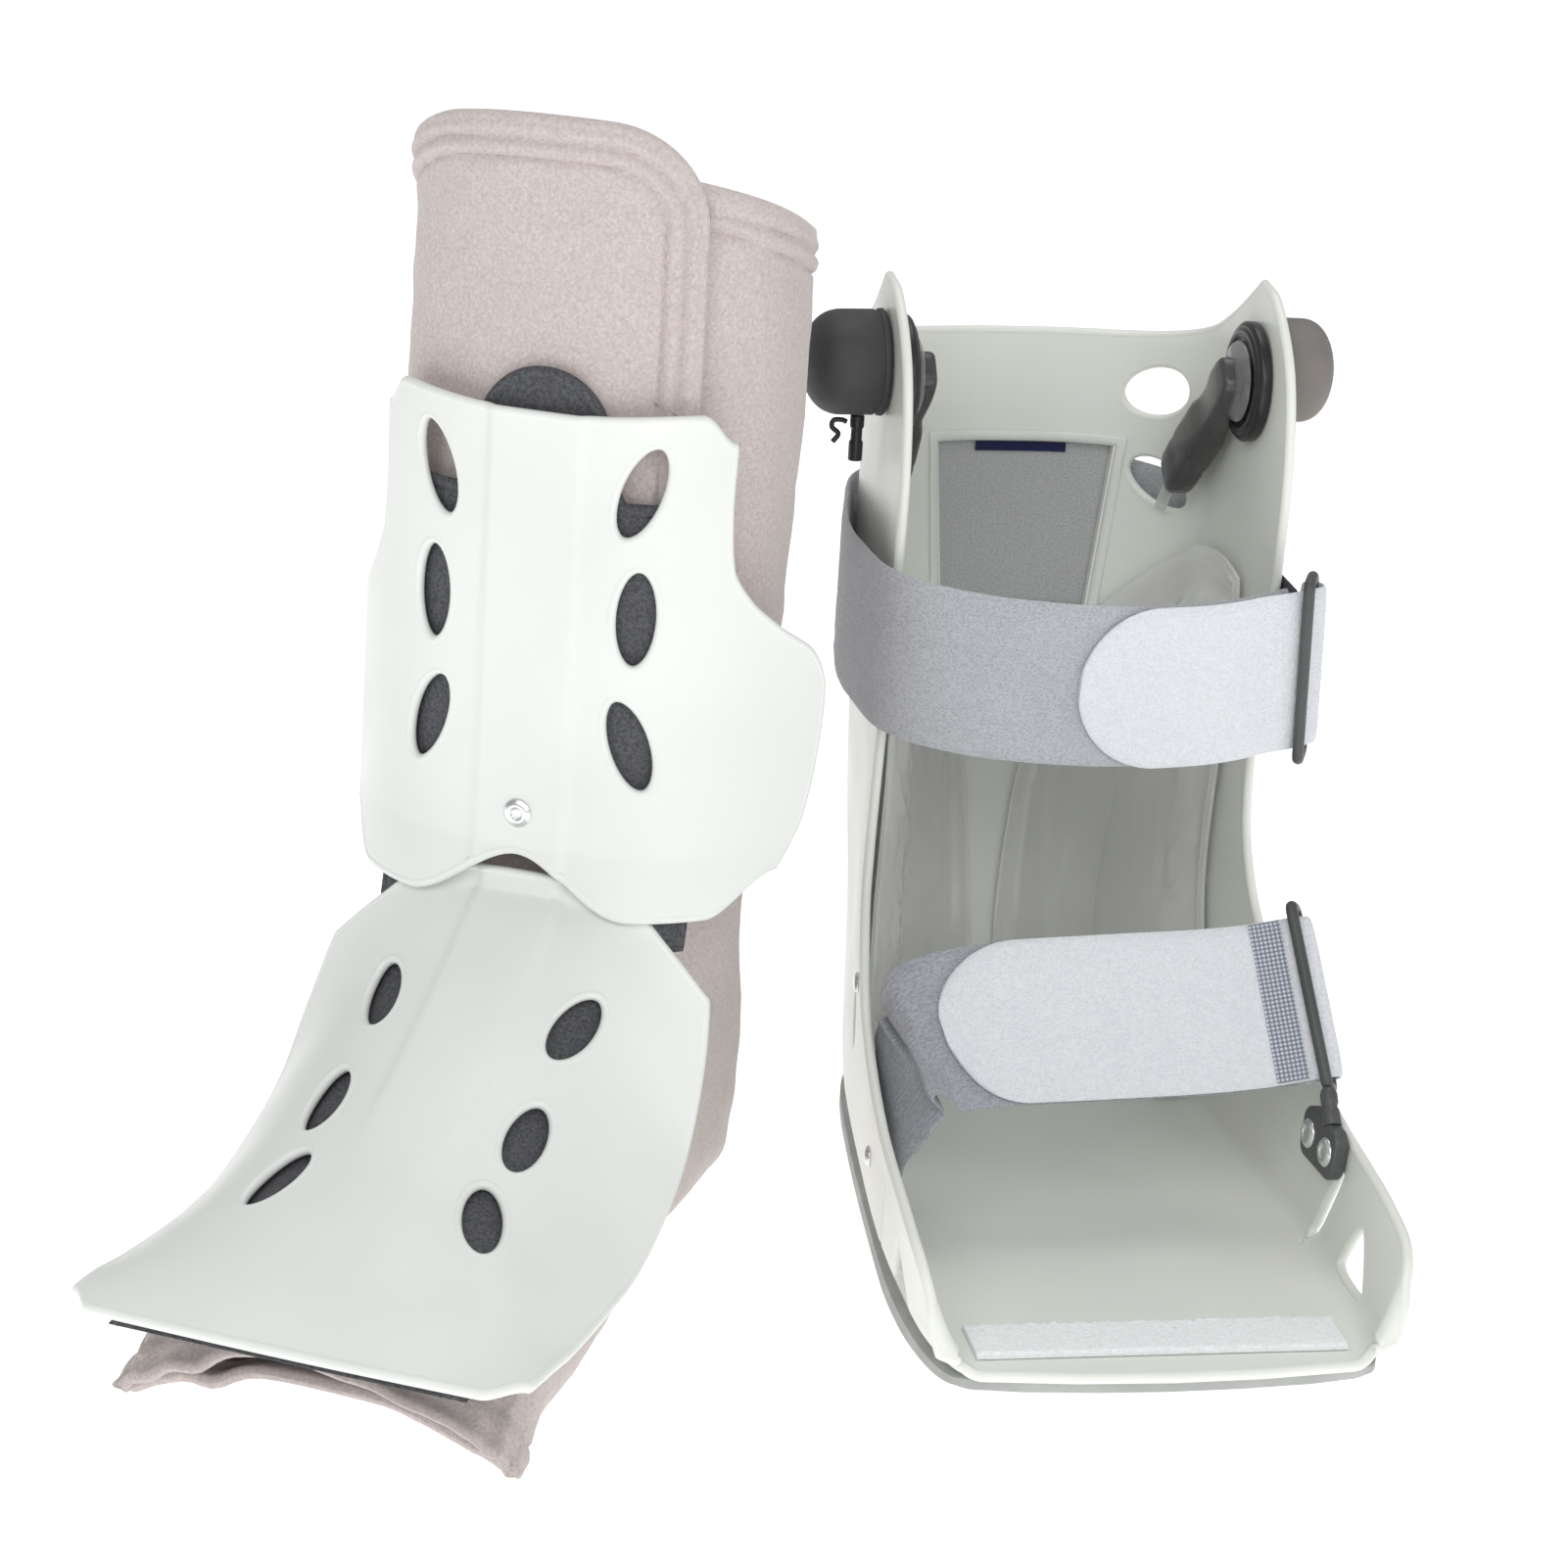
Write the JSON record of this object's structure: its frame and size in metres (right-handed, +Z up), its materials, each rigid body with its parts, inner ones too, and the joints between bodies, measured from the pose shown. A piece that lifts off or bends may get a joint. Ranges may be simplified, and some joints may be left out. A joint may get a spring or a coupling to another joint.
{
  "type": "walking boot",
  "caption": "Ankle and foot walking boot set out in its halves: padded liner with front panels, and open rear shell with pumps, air cells and straps.",
  "frame": {"origin": "on the floor, under the middle of the bounding box of both halves", "axes": "+X to the viewer's right along the row of the halves, +Y to the shell's heel, +Z up; the shell's toe points to -Y"},
  "size_m": [0.3812, 0.3254, 0.3389],
  "materials": {
    "shell_plastic": "moulded satin, slightly translucent",
    "sole_rubber": "smooth, slightly translucent",
    "bulb_charcoal": "matte",
    "bulb_grey": "matte",
    "valve_black": "satin",
    "clear_vinyl": "clear plastic, smooth",
    "air_cell_vinyl": "soft clear film",
    "window_frame_plastic": "satin",
    "window_fabric": "fine weave",
    "navy_stripe": "flat weave",
    "strap_loop": "brushed loop pile",
    "strap_tab": "short loop pile",
    "ring_webbing": "ribbed webbing",
    "stitch_mesh": "mesh with a grid of light dots",
    "ring_plastic": "satin",
    "rivet_metal": "polished",
    "hook_tape": "fine hooks",
    "liner_felt": "brushed felt on foam",
    "panel_plastic": "satin",
    "pad_foam": "soft closed-cell foam"
  },
  "bodies": {
    "root": {"rear_shell": "shell_plastic", "outsole": "sole_rubber", "window_frame": "window_frame_plastic", "window_tab": "window_fabric", "window_tab_stripe": "navy_stripe", "pump_bulb_left": "bulb_charcoal", "pump_bulb_right": "bulb_grey", "pump_stem": "valve_black", "pump_hook": "valve_black", "valve_disc_left": "valve_black", "valve_cover_left": "clear_vinyl", "valve_nozzle_left": "valve_black", "air_tube_left": "clear_vinyl", "valve_disc_right": "valve_black", "valve_cover_right": "clear_vinyl", "valve_nozzle_right": "valve_black", "air_tube_right": "clear_vinyl", "air_cell_left": "air_cell_vinyl", "air_cell_right": "air_cell_vinyl", "upper_strap": "strap_loop", "upper_tab": "strap_tab", "upper_ring": "ring_plastic", "upper_ring_webbing": "ring_webbing", "lower_strap": "strap_loop", "lower_tab": "strap_tab", "lower_ring": "ring_plastic", "lower_stitch_band": "stitch_mesh", "ring_bracket": "ring_plastic", "ring_barrel": "ring_plastic", "bracket_rivet_front": "rivet_metal", "bracket_rivet_back": "rivet_metal", "toe_hook_strip": "hook_tape", "strap_rivet_1": "rivet_metal", "strap_rivet_2": "rivet_metal", "tibia_panel": "panel_plastic", "tibia_screw": "rivet_metal", "tibia_pad": "pad_foam", "foot_panel": "panel_plastic", "foot_pad": "pad_foam", "liner": "liner_felt", "liner_flap": "liner_felt"}
  },
  "joints": []
}
